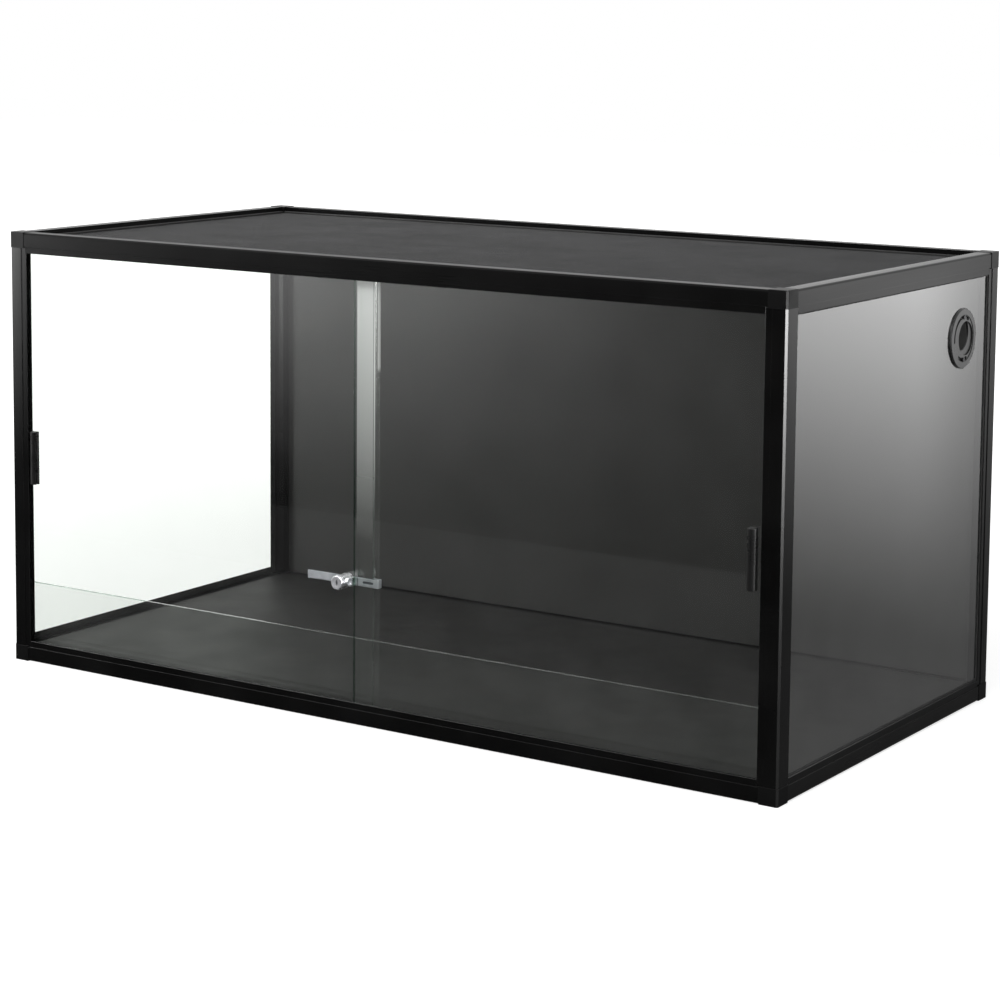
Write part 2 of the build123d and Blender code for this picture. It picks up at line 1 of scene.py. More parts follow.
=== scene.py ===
# %% [markdown]
# # A glass terrarium
# The object is a black aluminium frame on plastic corner blocks, with glass sides, two
# sliding glass doors, a lock, a mesh top and a round vent. The measured parts come from the
# CAD model, and this script gives them their edges, surfaces and fine pieces. It then sets
# up a plain studio and the camera of the photograph.
# Sizes are written in millimetres and multiplied by MM, because Blender works in metres.

# %% Load the frame
import json
import math

import bmesh
import bpy
from mathutils import Matrix, Vector


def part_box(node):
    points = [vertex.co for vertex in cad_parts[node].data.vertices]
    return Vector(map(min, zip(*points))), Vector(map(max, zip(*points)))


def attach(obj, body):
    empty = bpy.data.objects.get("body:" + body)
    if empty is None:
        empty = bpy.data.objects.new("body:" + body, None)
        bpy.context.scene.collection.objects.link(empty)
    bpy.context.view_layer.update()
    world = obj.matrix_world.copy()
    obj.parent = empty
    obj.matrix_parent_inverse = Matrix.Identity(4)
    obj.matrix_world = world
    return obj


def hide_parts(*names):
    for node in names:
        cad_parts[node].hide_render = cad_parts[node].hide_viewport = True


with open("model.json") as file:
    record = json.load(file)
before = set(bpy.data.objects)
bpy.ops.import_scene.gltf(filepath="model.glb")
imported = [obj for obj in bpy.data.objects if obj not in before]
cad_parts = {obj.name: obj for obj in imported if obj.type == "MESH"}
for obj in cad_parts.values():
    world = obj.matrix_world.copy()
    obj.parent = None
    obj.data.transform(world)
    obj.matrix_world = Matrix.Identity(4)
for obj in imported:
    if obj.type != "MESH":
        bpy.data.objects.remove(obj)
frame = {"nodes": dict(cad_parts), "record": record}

for name in ("Cube", "Light", "Camera"):
    if name in bpy.data.objects:
        bpy.data.objects.remove(bpy.data.objects[name])

MM = 0.001
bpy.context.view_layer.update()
scene = bpy.context.scene
body_of = {node: body for body, nodes in frame["record"]["behaviour"]["bodies"].items() for node in nodes}

# %% [markdown]
# ## Colours and nodes
# A colour picked from a picture is an sRGB value, but a shader works with linear light, so
# one function turns one into the other. Shaders and Geometry Nodes are both trees of nodes,
# so one small function adds a node to either: it takes the node's settings by name, and a
# table that gives each input a number or a link.


# %% Colour and node helpers
def linear(hex_colour):
    """A colour such as "#1c1c1c" as linear red, green, blue and alpha."""
    parts = [int(hex_colour[i : i + 2], 16) / 255 for i in (1, 3, 5)]
    return [p / 12.92 if p <= 0.04045 else ((p + 0.055) / 1.055) ** 2.4 for p in parts] + [1.0]


def add(tree, kind, inputs=None, **settings):
    """Adds a node, sets it and fills its inputs. A value that is a socket becomes a link."""
    node = tree.nodes.new(kind)
    for name, value in settings.items():
        setattr(node, name, value)
    for key, value in (inputs or {}).items():
        if isinstance(value, bpy.types.NodeSocket):
            tree.links.new(value, node.inputs[key])
        else:
            node.inputs[key].default_value = value
    return node


def per(size_mm):
    """The scale of a noise whose grains are this large."""
    return 1 / (size_mm * MM)


print("helpers ready; mid grey is", [round(v, 3) for v in linear("#808080")])

# %% [markdown]
# ## Patterns
# Nearly every finish here is a plain colour that is broken up by three things: a slow drift
# of tone, a drift of roughness that shows in the highlights, and a fine relief. All three
# come from noise on Object coordinates. Every piece keeps its place in its own mesh, so the
# pattern stays fixed to it when it moves.


# %% Pattern helpers
def new_material(name):
    """An empty material, its tree and its output node."""
    material = bpy.data.materials.new(name)
    material.use_nodes = True
    material.node_tree.nodes.clear()
    return material, material.node_tree, add(material.node_tree, "ShaderNodeOutputMaterial")


def noise(tree, size_mm, stretch=(1, 1, 1), detail=2.0):
    """Noise on Object coordinates. A stretch of 0.05 draws the grains out 20 times."""
    place = add(tree, "ShaderNodeTexCoord").outputs["Object"]
    scaled = add(tree, "ShaderNodeMapping", {"Vector": place, "Scale": stretch}).outputs[0]
    grains = {"Vector": scaled, "Scale": per(size_mm), "Detail": detail}
    return add(tree, "ShaderNodeTexNoise", grains).outputs["Fac"]


def spread(tree, value, low, high):
    """Maps the middle of a noise to the range from low to high."""
    ends = {"Value": value, "From Min": 0.3, "From Max": 0.7, "To Min": low, "To Max": high}
    return add(tree, "ShaderNodeMapRange", ends).outputs[0]


def blend_colours(tree, factor, first, second):
    node = add(tree, "ShaderNodeMix", {0: factor}, data_type="RGBA")
    for index, colour in ((6, first), (7, second)):
        if isinstance(colour, str):
            node.inputs[index].default_value = linear(colour)
        else:
            tree.links.new(colour, node.inputs[index])
    return node.outputs[2]


def relief(tree, height, depth_mm):
    """Turns a height from 0 to 1 into a bumped normal."""
    inputs = {"Height": height, "Distance": depth_mm * MM, "Strength": 1.0}
    return add(tree, "ShaderNodeBump", inputs).outputs[0]


def solid_finish(name, dark, light, rough, grain_mm, grain_depth_mm, drift_mm=90.0,
                 stretch=(1, 1, 1), metallic=0.0, fixed=None):
    """A painted, moulded or plated surface: drifting tone and roughness over a fine relief."""
    material, tree, output = new_material(name)
    tone = spread(tree, noise(tree, drift_mm), 0.0, 1.0)
    smear = noise(tree, drift_mm / 3, stretch, detail=4.0)
    skin = noise(tree, grain_mm, stretch)
    shader = add(tree, "ShaderNodeBsdfPrincipled", {
        "Base Color": blend_colours(tree, tone, dark, light),
        "Roughness": spread(tree, smear, rough[0], rough[1]),
        "Metallic": metallic,
        "Normal": relief(tree, skin, grain_depth_mm),
        **(fixed or {}),
    })
    tree.links.new(shader.outputs[0], output.inputs["Surface"])
    return material


print("pattern helpers ready")

# %% [markdown]
# ## The frame's finishes
# The posts and rails are extruded aluminium with a black powder coat. The coat melts into a
# skin with a very slight orange peel, and the lines of the extrusion die show through it
# along the bar. So there is one coat for bars along each axis, with its grain drawn out
# along that axis. The rounded edges are a little smoother, because hands and boxes rub them,
# and a little lighter in colour, which paints the highlight that they catch. The corner
# blocks are moulded nylon, which is a little paler and has no direction; their edges are
# painted lighter in the same way.

# %% Coat, nylon, track, handle, rubber and board
along = {"x": (0.04, 1, 1), "y": (1, 0.04, 1), "z": (1, 1, 0.04)}
coat_of = {}
# Edge coats: a smoother roughness for the rub of hands, and a lighter colour that paints the highlight of the
# rounded edges.
highlit_edge_of = {}
# Roughness and Specular IOR Level for each direction, set to match the photograph's bars.
gloss_of = {"x": ((0.24, 0.36), 0.06), "y": ((0.24, 0.36), 0.14), "z": ((0.11, 0.19), 0.14)}
for axis, stretch in along.items():
    # The real peel is about 0.5 mm across. It is drawn at 2.5 mm so that it shows.
    rough, shine = gloss_of[axis]
    coat_of[axis] = solid_finish(
        f"black powder coat along {axis}", "#0a0a0a", "#121212", rough, 2.5, 0.006,
        stretch=stretch, fixed={"Specular IOR Level": shine},
    )
    highlit_edge_of[axis] = solid_finish(
        f"rubbed powder coat along {axis}", "#161616", "#242424", (0.18, 0.26), 2.5, 0.006,
        stretch=stretch,
    )
nylon = solid_finish("moulded black nylon", "#0f0f0f", "#161616", (0.30, 0.42), 1.6, 0.015,
                     fixed={"Specular IOR Level": 0.08})
# Lighter colour on the blocks' edges: a painted highlight, with the smoother roughness of rubbing.
nylon_edge_highlight = solid_finish("rubbed black nylon with painted highlight", "#1c1c1c", "#2a2a2a", (0.30, 0.40), 1.6, 0.01,
                          fixed={"Specular IOR Level": 0.12})
track_pvc = solid_finish("extruded black PVC", "#080808", "#0e0e0e", (0.38, 0.50), 2.0, 0.01,
                         stretch=along["x"])
handle_abs = solid_finish("satin black ABS", "#0e0e0e", "#161616", (0.24, 0.34), 1.2, 0.008)
# Lighter colour on the handles' edges: a painted highlight.
handle_edge_highlight = solid_finish("rubbed black ABS with painted highlight", "#1a1a1a", "#262626", (0.20, 0.28), 1.2, 0.006)
rubber = solid_finish("black EPDM rubber", "#090909", "#101010", (0.60, 0.75), 1.5, 0.02)
back_board = solid_finish("black foamed PVC board", "#191817", "#232221", (0.50, 0.60), 1.4, 0.001,
                          drift_mm=320.0)
base_board = solid_finish("black foamed PVC base", "#121211", "#1b1a19", (0.50, 0.62), 1.4, 0.003,
                          drift_mm=240.0)
screen_trim = solid_finish("grey coated screen trim", "#2c2c2c", "#383838", (0.34, 0.46), 2.0, 0.01)
print("finishes:", len(bpy.data.materials))

# %% [markdown]
# ## Metals
# The strip of the lock is stamped steel with a zinc plate: pale, a little blue, and drawn
# along its length by the rolling mill. The barrel is chrome plated, with a nearly perfect
# mirror. A metal's colour is its reflection, so it keeps the default IOR.

# %% Plated strip, chrome, screws and wire
zinc_strip = solid_finish("zinc plated strip", "#b4b8bd", "#cfd2d5", (0.48, 0.60), 0.7, 0.004,
                          drift_mm=14.0, stretch=along["x"], metallic=1.0)
# The pressed marks of the strip are a darker zinc.
mark_zinc = solid_finish("darker zinc in the pressed marks", "#4c5054", "#63686c", (0.50, 0.62), 0.7,
                         0.004, drift_mm=14.0, metallic=0.8)
chrome = solid_finish("bright chrome plate", "#d9dadd", "#e6e6e8", (0.22, 0.34), 3.0, 0.002,
                      drift_mm=20.0, metallic=1.0)
plug_face = solid_finish("turned chrome face", "#cfd0d3", "#e2e3e6", (0.44, 0.54), 0.5, 0.003,
                         drift_mm=8.0, metallic=1.0)
screw_zinc = solid_finish("blackened zinc screw", "#3c3c3e", "#545456", (0.34, 0.48), 0.6, 0.004,
                          drift_mm=5.0, metallic=1.0)
vent_abs = solid_finish("glossy black ABS", "#131313", "#1b1b1b", (0.22, 0.34), 2.2, 0.02)
# Pale grey on the vent's thin edges: a painted glint.
vent_edge_glint = solid_finish("ABS edge with painted glint", "#6a6b6a", "#838483", (0.12, 0.20), 1.4, 0.004)
wire_coat = solid_finish("coated screen wire", "#2a2a2b", "#373738", (0.38, 0.52), 6.0, 0.004,
                         drift_mm=120.0)
print("metals and vent finishes:", len(bpy.data.materials))

# %% [markdown]
# ## Float glass
# Window glass is clear, with an IOR of 1.52, so it mirrors about a twentieth of the light at
# each face, and more at a slant. A pane that is thin and flat doesn't bend what is seen
# through it, so it can be drawn as a clear sheet with a mirror mixed in by Fresnel, which
# renders with far less noise than real refraction. The front face carries the mirror of both
# faces. A real pane is never quite clean: a thin film of dust and water marks is mixed in.
# Where the two doors overlap, a pale haze, full at the top and fading downward, paints the
# stronger reflection there.


# %% Glass and its polished edge
def maths(tree, operation, first, second):
    return add(tree, "ShaderNodeMath", {0: first, 1: second}, operation=operation).outputs[0]


def float_glass(name, film_low, film_high, painted_light_bands=(), tint="#fefffe"):
    """Clear glass with a patchy pale layer. Each painted band lies between two x, starts and is
    full at two heights, all in mm, and covers a share of the glass there with pale haze,
    which paints light that grows toward the top."""
    material, tree, output = new_material(name)
    clear = add(tree, "ShaderNodeBsdfTransparent", {"Color": linear(tint)})
    shine = add(tree, "ShaderNodeBsdfPrincipled", {
        "Base Color": linear("#ffffff"), "Metallic": 1.0, "Roughness": 0.0,
    })
    outside = maths(tree, "SUBTRACT", 1.0, add(tree, "ShaderNodeNewGeometry").outputs["Backfacing"])
    one_face = add(tree, "ShaderNodeFresnel", {"IOR": 1.52}).outputs[0]
    both_faces = maths(tree, "MULTIPLY", maths(tree, "MULTIPLY", one_face, 1.9), outside)
    pane = add(tree, "ShaderNodeMixShader", {0: both_faces, 1: clear.outputs[0], 2: shine.outputs[0]})
    dust_and_painted_light = spread(tree, noise(tree, 70.0, detail=5.0), film_low, film_high)
    place = add(tree, "ShaderNodeSeparateXYZ", {
        0: add(tree, "ShaderNodeTexCoord").outputs["Object"]
    }).outputs
    # Each band is a pale haze that paints light, growing toward the top.
    for from_x, to_x, starts, full, cover in painted_light_bands:
        rises = {"Value": place["Z"], "From Min": starts * MM, "From Max": full * MM,
                 "To Min": 0.02, "To Max": cover}
        share = add(tree, "ShaderNodeMapRange", rises).outputs[0]
        right_of = maths(tree, "GREATER_THAN", place["X"], from_x * MM)
        left_of = maths(tree, "LESS_THAN", place["X"], to_x * MM)
        share = maths(tree, "MULTIPLY", maths(tree, "MULTIPLY", right_of, left_of), share)
        dust_and_painted_light = maths(tree, "MAXIMUM", dust_and_painted_light, share)
    dust_and_painted_light = maths(tree, "MULTIPLY", dust_and_painted_light, outside)
    dust_and_painted_light_bsdf = add(tree, "ShaderNodeBsdfDiffuse", {"Color": linear("#e2e2e2")})
    mixed = add(tree, "ShaderNodeMixShader", {0: dust_and_painted_light, 1: pane.outputs[0], 2: dust_and_painted_light_bsdf.outputs[0]})
    tree.links.new(mixed.outputs[0], output.inputs["Surface"])
    return material


overlap_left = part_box("right_door_glass")[0].x / MM
side_glass = float_glass("clear side glass", 0.0, 0.02)
outer_door_glass = float_glass("clear outer door glass", 0.0, 0.012)
strip_left, strip_right = (corner.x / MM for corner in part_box("left_door_edge_strip"))
# Where the doors overlap, a pale haze, full at the top and fading downward, paints the stronger reflection of the
# two panes. It starts a few millimetres in behind the outer door's edge.
inner_door_glass = float_glass("clear inner door glass", 0.0, 0.012, [
    (overlap_left + 0.6, strip_left, 240, 540, 1.0),
])
# An edge is seen through the pane's whole width, so it is the darkest green of the glass.
polished_edge = float_glass("polished glass edge", 0.06, 0.14, tint="#86a896")
# Bands of pale haze paint highlights on the clear strip: along the glued joint, growing toward the top, and at
# the top along its free edge.
clear_strip = float_glass("clear extruded PVC strip", 0.0, 0.03, [
    (strip_left - 1, strip_left + 2.2, 270, 470, 1.0), (strip_right - 2.6, strip_right + 1, 462, 470, 0.7),
])
# A band of pale haze at the top of the strip's free edge paints a highlight.
strip_edge = float_glass("free edge of the PVC strip", 0.03, 0.06, [(0, strip_right + 1, 462, 470, 0.8)])
print("the overlap starts at", round(overlap_left, 1), "mm")

# %% [markdown]
# ## From CAD solid to finished piece
# A CAD solid has perfectly sharp edges, and nothing real has. The copy made here is welded
# into one skin, its flat triangles are joined into faces, every sharp edge is rounded by a
# few tenths of a millimetre, and its normals are weighted so that flat faces shade flat.
# The rounded edges catch the light, so they may have their own finish: a lighter colour that paints their
# highlight.


# %% Copying a solid and finishing its edges
def evaluated(piece):
    """Turns a piece with modifiers into a plain mesh."""
    graph = bpy.context.evaluated_depsgraph_get()
    mesh = bpy.data.meshes.new_from_object(piece.evaluated_get(graph))
    piece.modifiers.clear()
    piece.data = mesh
    return piece


def new_piece(name, mesh):
    piece = bpy.data.objects.new(name, mesh)
    scene.collection.objects.link(piece)
    return piece


def stands_for(piece, *nodes):
    """The piece replaces these nodes and rides with them."""
    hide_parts(*nodes)
    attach(piece, body_of[nodes[0]])
    return piece


def finished_copy(node, edge_mm, finish, edge_highlight=None, steps=2, others=(), reshape=None):
    """A copy of a node with rounded edges.

    others pairs a test for faces with the finish that they get, and reshape is a function
    that moves points of the welded copy before its edges are rounded.
    """
    shape = bmesh.new()
    shape.from_mesh(frame["nodes"][node].data)
    bmesh.ops.remove_doubles(shape, verts=shape.verts, dist=0.002 * MM)
    if reshape:
        reshape(shape, node)
        bmesh.ops.remove_doubles(shape, verts=shape.verts, dist=0.002 * MM)
        shape.normal_update()
    bmesh.ops.dissolve_limit(shape, angle_limit=math.radians(0.5), verts=shape.verts, edges=shape.edges)
    for face in shape.faces:
        face.material_index = 0
        for index, (test, _) in enumerate(others):
            if test(face):
                face.material_index = 2 + index
        face.smooth = True
    mesh = bpy.data.meshes.new(f"{node}_finished")
    shape.to_mesh(mesh)
    shape.free()
    if "custom_normal" in mesh.attributes:
        mesh.attributes.remove(mesh.attributes["custom_normal"])
    for material in (finish, edge_highlight or finish, *(other for _, other in others)):
        mesh.materials.append(material)
    piece = new_piece(f"{node}_finished", mesh)
    if edge_mm:
        bevel = piece.modifiers.new("edges", "BEVEL")
        bevel.width = edge_mm * MM
        bevel.segments = steps
        bevel.limit_method = "ANGLE"
        bevel.angle_limit = math.radians(35)
        bevel.material = 1 if edge_highlight else -1
    normals = piece.modifiers.new("normals", "WEIGHTED_NORMAL")
    normals.keep_sharp = True
    evaluated(piece)
    low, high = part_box(node)
    for vertex in piece.data.vertices:
        vertex.co = [min(max(v, a), b) for v, a, b in zip(vertex.co, low, high)]
    return stands_for(piece, node)


# %% [markdown]
# ## Posts, rails and corner blocks
# Twelve bars and eight blocks make the frame. Each bar takes the coat whose grain runs along
# it, which its longest side tells. The CAD rounds the four upright corners of the frame with
# a radius of 3 mm. The real ones are flattened, on the posts and on the blocks alike, and one
# long thin highlight runs down each. So the round is pressed flat here, as with a file.

# %% Frame members
CORNER_MM = 2.7
CORNER_ZONE = 4 * MM
# Only the four outer corners lie this far from the middle.
CORNER_REACH = 0.66


def flatten_corner(shape, node):
    """Presses the round at a frame's upright corner onto one flat, CORNER_MM back."""
    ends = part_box(node)
    corner = [max(abs(end[i]) for end in ends) for i in (0, 1)]
    limit = corner[0] + corner[1] - CORNER_MM * MM
    for vertex in shape.verts:
        over = abs(vertex.co.x) + abs(vertex.co.y) - limit
        near = all(corner[i] - abs(vertex.co[i]) < CORNER_ZONE for i in (0, 1))
        if near and over > 0:
            for i in (0, 1):
                vertex.co[i] -= math.copysign(over / 2, vertex.co[i])


def flat_corner(face):
    """The long flat that flatten_corner leaves."""
    upright = abs(face.normal.z) < 0.1 and min(abs(face.normal.x), abs(face.normal.y)) > 0.6
    return upright and face.calc_center_median().xy.length > CORNER_REACH


# The rounded edges, and the flat at each upright corner, take the lighter edge finish, which paints their
# highlight.
bars = [n for n in frame["nodes"] if n.startswith(("post_", "bottom_rail_", "top_rail_"))]
for node in bars:
    low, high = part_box(node)
    size = high - low
    run = "xyz"[max(range(3), key=lambda i: size[i])]
    filed = dict(reshape=flatten_corner, others=[(flat_corner, highlit_edge_of[run])]) if run == "z" else {}
    finished_copy(node, 0.35, coat_of[run], highlit_edge_of[run], **filed)
blocks = [n for n in frame["nodes"] if "_connector_" in n]
for node in blocks:
    finished_copy(node, 0.4, nylon, nylon_edge_highlight, reshape=flatten_corner,
                  others=[(flat_corner, nylon_edge_highlight)])
print("bars:", len(bars), "blocks:", len(blocks))

# %% [markdown]
# ## Panels, gaskets and tracks
# The back and the base are foamed plastic boards, held against rubber strips. The tracks
# are plastic channels that the doors run in.

# %% Boards, gaskets, tracks
finished_copy("back_panel", 0.3, back_board)
finished_copy("base_panel", 0.5, base_board)
for node in ("left_glass_gasket", "right_glass_gasket", "back_panel_gasket"):
    finished_copy(node, 0.3, rubber)
for node in ("door_track_bottom", "door_track_top"):
    finished_copy(node, 0.2, track_pvc)
for node in ("screen_frame", "screen_bead"):
    finished_copy(node, 0.4, screen_trim)
print("panels and tracks done")

# %% [markdown]
# ## Panes
# The side panes and the dam are clear glass. The free edges, where hands touch the doors and
# the dam, are ground and polished, so these narrow faces get the edge finish. The edges in
# the rails stay plain and dark.

# %% Side panes, dam and doors
def free_door_edge(face):
    middle = face.calc_center_median()
    return abs(face.normal.y) < 0.9 and abs(middle.x) < 30 * MM


def top_edge(face):
    return face.normal.z > 0.3


for node in ("left_side_glass", "right_side_glass"):
    finished_copy(node, 0.0, side_glass)
finished_copy("substrate_dam", 0.0, side_glass, others=[(top_edge, polished_edge)])
finished_copy("left_door_glass", 0.0, inner_door_glass, others=[(free_door_edge, polished_edge)])
finished_copy("right_door_glass", 0.0, outer_door_glass, others=[(free_door_edge, polished_edge)])
finished_copy("left_door_edge_strip", 0.0, clear_strip, others=[(free_door_edge, strip_edge)])
# The handles' rounded edges take the lighter edge finish, a painted highlight.
for node in ("left_door_handle", "right_door_handle"):
    finished_copy(node, 0.5, handle_abs, handle_edge_highlight, steps=3)
print("panes and handles done")

# %% [markdown]
# ## The lock
# The strip keeps its stamped teeth and hook, with the slight rounding of a press tool. The
# oblong and the crease that are pressed into it are darker. The barrel and its plug are
# turned parts, and the barrel's front is left matt from the lathe.

# %% Strip, barrel and plug
strip_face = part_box("lock_bar")[0].y
barrel_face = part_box("lock_barrel")[0].y


def pressed_mark(face):
    return face.normal.y < -0.9 and 0.2 * MM < face.calc_center_median().y - strip_face < 0.6 * MM


def barrel_front(face):
    return face.normal.y < -0.9 and face.calc_center_median().y - barrel_face < 1.0 * MM


finished_copy("lock_bar", 0.15, zinc_strip, others=[(pressed_mark, mark_zinc)])
finished_copy("lock_barrel", 0.3, chrome, steps=3, others=[(barrel_front, plug_face)])
finished_copy("lock_plug", 0.12, plug_face)
print("lock done")

# %% [markdown]
# ## The woven top
# The top is a screen of thin coated wires. Seen at the photograph's low angle it looks like
# a dark sheet, but from above one looks through it. Modelling the wires is what gives both.
# Two families of straight wires cross, one on the other. Each family is one wire repeated
# along a line, which is what Geometry Nodes do best: a line of points, a wire on each, and
# the wires made real. The true mesh is finer; 2.5 mm keeps the wires visible.


# %% A Geometry Nodes tree for crossing wires
def group_input(tree, names_and_kinds):
    for name, kind in names_and_kinds:
        tree.interface.new_socket(name, in_out="INPUT", socket_type=kind)
    tree.interface.new_socket("Geometry", in_out="OUTPUT", socket_type="NodeSocketGeometry")
    return add(tree, "NodeGroupInput")


def screen_tree():
    tree = bpy.data.node_groups.new("crossing wires", "GeometryNodeTree")
    given = group_input(tree, [
        ("Long side", "NodeSocketFloat"),
        ("Short side", "NodeSocketFloat"),
        ("Wire overrun", "NodeSocketFloat"),
        ("Mesh size", "NodeSocketFloat"),
        ("Wire diameter", "NodeSocketFloat"),
        ("Level", "NodeSocketFloat"),
        ("Finish", "NodeSocketMaterial"),
    ]).outputs

    def maths(first, second, operation):
        return add(tree, "ShaderNodeMath", {0: first, 1: second}, operation=operation).outputs[0]

    def vector(x=0.0, y=0.0, z=0.0):
        return add(tree, "ShaderNodeCombineXYZ", {0: x, 1: y, 2: z}).outputs[0]

    radius = maths(given["Wire diameter"], 0.5, "MULTIPLY")
    section = add(tree, "GeometryNodeCurvePrimitiveCircle", {"Resolution": 6, "Radius": radius})

    def family(length, span, lift, axis):
        half_length = maths(maths(length, 0.5, "MULTIPLY"), given["Wire overrun"], "ADD")
        half_span = maths(span, 0.5, "MULTIPLY")
        gaps = maths(maths(span, given["Mesh size"], "DIVIDE"), 0.0, "ADD")
        gaps = add(tree, "ShaderNodeMath", {0: gaps}, operation="ROUND").outputs[0]
        step = maths(span, gaps, "DIVIDE")
        back = maths(half_length, -1.0, "MULTIPLY")
        start = maths(half_span, -1.0, "MULTIPLY")
        ends = (vector(x=back), vector(x=half_length)) if axis == "x" else (vector(y=back), vector(y=half_length))
        wire = add(tree, "GeometryNodeCurvePrimitiveLine", {"Start": ends[0], "End": ends[1]})
        tube = add(tree, "GeometryNodeCurveToMesh", {
            "Curve": wire.outputs[0], "Profile Curve": section.outputs[0], "Fill Caps": True,
        })
        first = vector(y=start, z=lift) if axis == "x" else vector(x=start, z=lift)
        offset = vector(y=step) if axis == "x" else vector(x=step)
        places = add(tree, "GeometryNodeMeshLine", {
            "Count": maths(gaps, 1.0, "ADD"), "Start Location": first, "Offset": offset,
        }, mode="OFFSET")
        return add(tree, "GeometryNodeInstanceOnPoints", {
            "Points": places.outputs[0], "Instance": tube.outputs[0],
        }).outputs[0]

    # Each family is lifted or lowered by a little under its radius, so the wires bite.
    bite = maths(radius, 0.8, "MULTIPLY")
    upper = family(given["Long side"], given["Short side"], maths(given["Level"], bite, "ADD"), "x")
    lower = family(given["Short side"], given["Long side"], maths(given["Level"], bite, "SUBTRACT"), "y")
    joined = add(tree, "GeometryNodeJoinGeometry")
    tree.links.new(lower, joined.inputs[0])
    tree.links.new(upper, joined.inputs[0])
    real = add(tree, "GeometryNodeRealizeInstances", {0: joined.outputs[0]})
    coated = add(tree, "GeometryNodeSetMaterial", {"Geometry": real.outputs[0], "Material": given["Finish"]})
    add(tree, "NodeGroupOutput", {0: coated.outputs[0]})
    return tree


def grown(name, tree, values):
    """Runs a tree on an empty mesh with these named inputs, and keeps the result as a mesh."""
    piece = new_piece(name, bpy.data.meshes.new(name))
    modifier = piece.modifiers.new("nodes", "NODES")
    modifier.node_group = tree
    for item in tree.interface.items_tree:
        if item.item_type == "SOCKET" and item.in_out == "INPUT":
            modifier[item.identifier] = values[item.name]
    return evaluated(piece)


sheet_low, sheet_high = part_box("screen_mesh")
corner_clear = 4.0 * MM
screen_values = {
    "Long side": 2 * (sheet_high.x - corner_clear - 1.6 * MM),
    "Short side": 2 * (sheet_high.y - corner_clear - 1.6 * MM),
    "Wire overrun": 4.0 * MM,
    "Mesh size": 2.5 * MM,
    "Wire diameter": 0.4 * MM,
    "Level": (sheet_low.z + sheet_high.z) / 2,
    "Finish": wire_coat,
}
screen = grown("screen_wires", screen_tree(), screen_values)
for polygon in screen.data.polygons:
    polygon.use_smooth = len(polygon.vertices) == 4
stands_for(screen, "screen_mesh")
print("wires:", len(screen.data.polygons) // 8, "faces:", len(screen.data.polygons))

# %% [markdown]
# ## The vent
# A flanged ring sits in the hole of the right pane. Its fixed plate and the disc that turns
# on it each have a round hole off centre, and the two holes together leave an opening like
# a lens. The moulding is glossy, and its thin edges are pale grey, a painted glint where
# they catch the light.

# %% Vent pieces
for node in ("vent_outer_ring", "vent_shutter_disc"):
    finished_copy(node, 0.6, vent_abs, vent_edge_glint)
finished_copy("vent_clamp_ring", 0.25, vent_abs)
finished_copy("vent_screws", 0.12, screw_zinc)
print("vent done")

# %% [markdown]
# ## The studio
# The floor is a large pale sheet, and the world is white to the camera, in mirrors and
# through glass. Two soft boxes light the object from above. A black object shows mostly what
# it mirrors, so the rest is done as a photographer does it: the room in front of the object
# is kept dark, and white cards stand where its faces mirror them. The floor therefore looks
# darker in mirrors, and the cards are seen in mirrors only.


# %% World, floor, lamps and cards
def soft_box(name, place, target, width, height, watts):
    lamp = bpy.data.lights.new(name, "AREA")
    lamp.shape = "RECTANGLE"
    lamp.size = width
    lamp.size_y = height
    lamp.energy = watts
    holder = bpy.data.objects.new(name, lamp)
    scene.collection.objects.link(holder)
    holder.location = place
    holder.rotation_mode = "QUATERNION"
    holder.rotation_quaternion = (Vector(target) - Vector(place)).to_track_quat("-Z", "Y")
    holder.visible_camera = False
    holder.visible_transmission = False
    return holder


def either(tree, *sockets):
    """One where any of the sockets is one."""
    value = sockets[0]
    for socket in sockets[1:]:
        value = add(tree, "ShaderNodeMath", {0: value, 1: socket}, operation="MAXIMUM").outputs[0]
    return value


world = bpy.data.worlds.new("studio")
scene.world = world
world.use_nodes = True
sky = world.node_tree
sky.nodes.clear()
seen = add(sky, "ShaderNodeLightPath").outputs
shown = either(sky, seen["Is Camera Ray"], seen["Is Glossy Ray"], seen["Is Transmission Ray"])
white = add(sky, "ShaderNodeBackground", {"Color": linear("#ffffff"), "Strength": 1.0})
fill = add(sky, "ShaderNodeBackground", {"Color": linear("#ffffff"), "Strength": 0.5})
mixed = add(sky, "ShaderNodeMixShader", {0: shown, 1: fill.outputs[0], 2: white.outputs[0]})
add(sky, "ShaderNodeOutputWorld", {0: mixed.outputs[0]})


def sheet_of(name, corners, material):
    mesh = bpy.data.meshes.new(name)
    mesh.from_pydata(corners, [], [(0, 1, 2, 3)])
    mesh.materials.append(material)
    piece = new_piece(name, mesh)
    return piece


def stretch_between(tree, value, low, high, low_result=0.0, high_result=1.0):
    ends = {"Value": value, "From Min": low, "From Max": high,
            "To Min": low_result, "To Max": high_result}
    return add(tree, "ShaderNodeMapRange", ends, interpolation_type="SMOOTHSTEP").outputs[0]


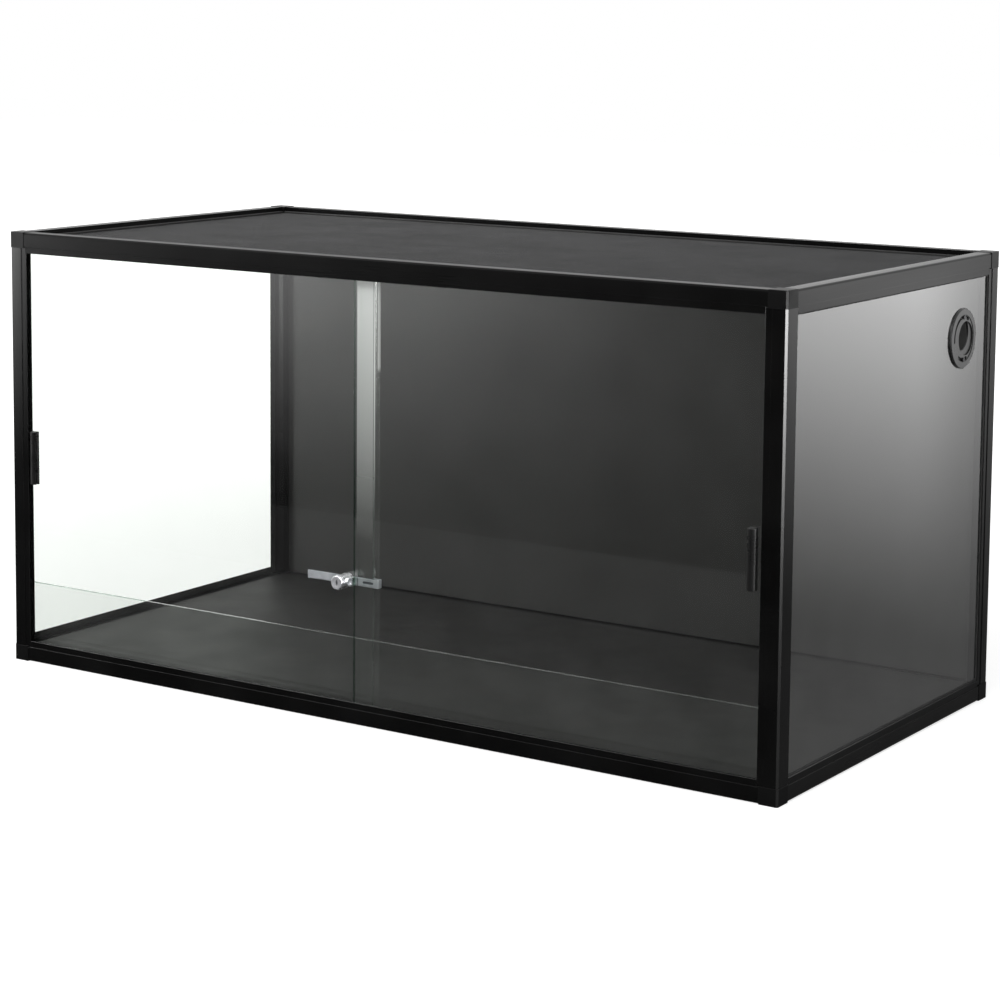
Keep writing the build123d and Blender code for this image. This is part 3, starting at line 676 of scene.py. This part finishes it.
floor_material, tree, output = new_material("pale floor")
rays = add(tree, "ShaderNodeLightPath").outputs
place = add(tree, "ShaderNodeTexCoord").outputs["Object"]
reach = add(tree, "ShaderNodeVectorMath", {0: place}, operation="LENGTH").outputs["Value"]
paper = add(tree, "ShaderNodeBsdfDiffuse", {"Color": linear("#d8d8d8")})
glow = add(tree, "ShaderNodeEmission", {
    "Color": linear("#ffffff"), "Strength": stretch_between(tree, reach, 0.6, 2.6, 0.66, 1.0),
})
raised = add(tree, "ShaderNodeAddShader", {0: paper.outputs[0], 1: glow.outputs[0]})
across = add(tree, "ShaderNodeSeparateXYZ", {0: place}).outputs["X"]
dim = add(tree, "ShaderNodeEmission", {
    "Color": linear("#ffffff"), "Strength": stretch_between(tree, across, 0.45, 0.70, 0.08, 0.17),
})
shown = either(tree, rays["Is Camera Ray"], rays["Is Transmission Ray"])
mirrored = add(tree, "ShaderNodeMixShader", {0: rays["Is Glossy Ray"], 1: paper.outputs[0], 2: dim.outputs[0]})
mixed = add(tree, "ShaderNodeMixShader", {0: shown, 1: mirrored.outputs[0], 2: raised.outputs[0]})
tree.links.new(mixed.outputs[0], output.inputs["Surface"])
FLOOR_HALF = 12.0
floor = sheet_of("floor", [(-FLOOR_HALF, -FLOOR_HALF, 0), (FLOOR_HALF, -FLOOR_HALF, 0),
                           (FLOOR_HALF, FLOOR_HALF, 0), (-FLOOR_HALF, FLOOR_HALF, 0)], floor_material)


def mirror_card(name, corners, strength, full_height, falloff=1.6, lowest=0.0, fades=()):
    """A white card seen only in mirrors. It fades to its lowest level at the floor. Each of
    the fades from side to side gives two x and the card's share at each."""
    material, tree, output = new_material(name)
    place = add(tree, "ShaderNodeSeparateXYZ", {0: add(tree, "ShaderNodeTexCoord").outputs["Object"]})
    height = maths(tree, "DIVIDE", place.outputs["Z"], full_height)
    height = maths(tree, "MINIMUM", maths(tree, "MAXIMUM", height, 0.0), 1.0)
    level = maths(tree, "MULTIPLY", maths(tree, "POWER", height, falloff), strength - lowest)
    for fade in fades:
        level = maths(tree, "MULTIPLY", level, stretch_between(tree, place.outputs["X"], *fade))
    level = maths(tree, "ADD", level, lowest)
    light = add(tree, "ShaderNodeEmission", {"Color": linear("#ffffff"), "Strength": level})
    tree.links.new(light.outputs[0], output.inputs["Surface"])
    card = sheet_of(name, corners, material)
    for kind in ("camera", "diffuse", "transmission", "shadow", "volume_scatter"):
        setattr(card, f"visible_{kind}", False)
    return card


def standing(x_first, y_first, x_last, y_last, low, high):
    return [(x_first, y_first, low), (x_last, y_last, low),
            (x_last, y_last, high), (x_first, y_first, high)]


# The right pane mirrors this card.
mirror_card("right card", standing(0.62, 0.5, 1.40, 0.5, 0.002, 0.62), 2.7, 0.62, lowest=0.17,
            fades=[(0.69, 0.82, 0.5, 1.0), (1.04, 1.38, 1.0, 0.0)])
# The front of the left post mirrors this one.
mirror_card("left card", standing(-2.6, -1.4, -1.655, -1.4, 0.0, 0.8), 18.0, 0.55)
# The doors mirror this one, most at their upper left.
mirror_card("door card", standing(-1.655, -1.4, 0.2, -1.4, 0.0, 0.8), 1.6, 0.45,
            fades=[(-1.5, 0.15, 1.0, 0.0)])
# The cut corner of the right front post mirrors this one as a thin white line.
mirror_card("corner card", standing(1.9, -1.5, 1.9, -0.8, 0.0, 0.8), 26.0, 0.42, 1.5)

middle = (0, 0, 0.3)
soft_box("high left box", (-2.2, -1.8, 2.6), middle, 1.8, 1.8, 38)
soft_box("high front box", (1.2, -2.4, 3.0), middle, 2.2, 1.2, 36)

# %% [markdown]
# ## The camera
# The camera stands where the photographer stood, worked out from the frame's corners in the
# photograph. Its axis runs above the middle of the picture, and the shift lowers the view.

# %% Camera of the photograph
photo_pixels = 1000
focal_pixels = 2653
axis_row = 300
azimuth, elevation, roll = (math.radians(v) for v in (33.54, 6.53, 0.49))
camera_place = Vector((2.0023, -3.0032, 0.9420))
backward = Vector((math.sin(azimuth) * math.cos(elevation),
                   -math.cos(azimuth) * math.cos(elevation), math.sin(elevation)))
level = Vector((math.cos(azimuth), math.sin(azimuth), 0))
upright = backward.cross(level)
right = level * math.cos(roll) + upright * math.sin(roll)
up = upright * math.cos(roll) - level * math.sin(roll)
lens = bpy.data.cameras.new("camera")
lens.sensor_width = 36.0
lens.lens = focal_pixels / photo_pixels * lens.sensor_width
lens.shift_y = (axis_row - photo_pixels / 2) / photo_pixels
lens.clip_start = 0.05
lens.clip_end = 50.0
camera = bpy.data.objects.new("camera", lens)
scene.collection.objects.link(camera)
camera.matrix_world = Matrix.Translation(camera_place) @ Matrix((right, up, backward)).transposed().to_4x4()
scene.camera = camera
scene.view_settings.view_transform = "Standard"
print("lens:", round(lens.lens, 2), "mm, shift:", round(lens.shift_y, 3))
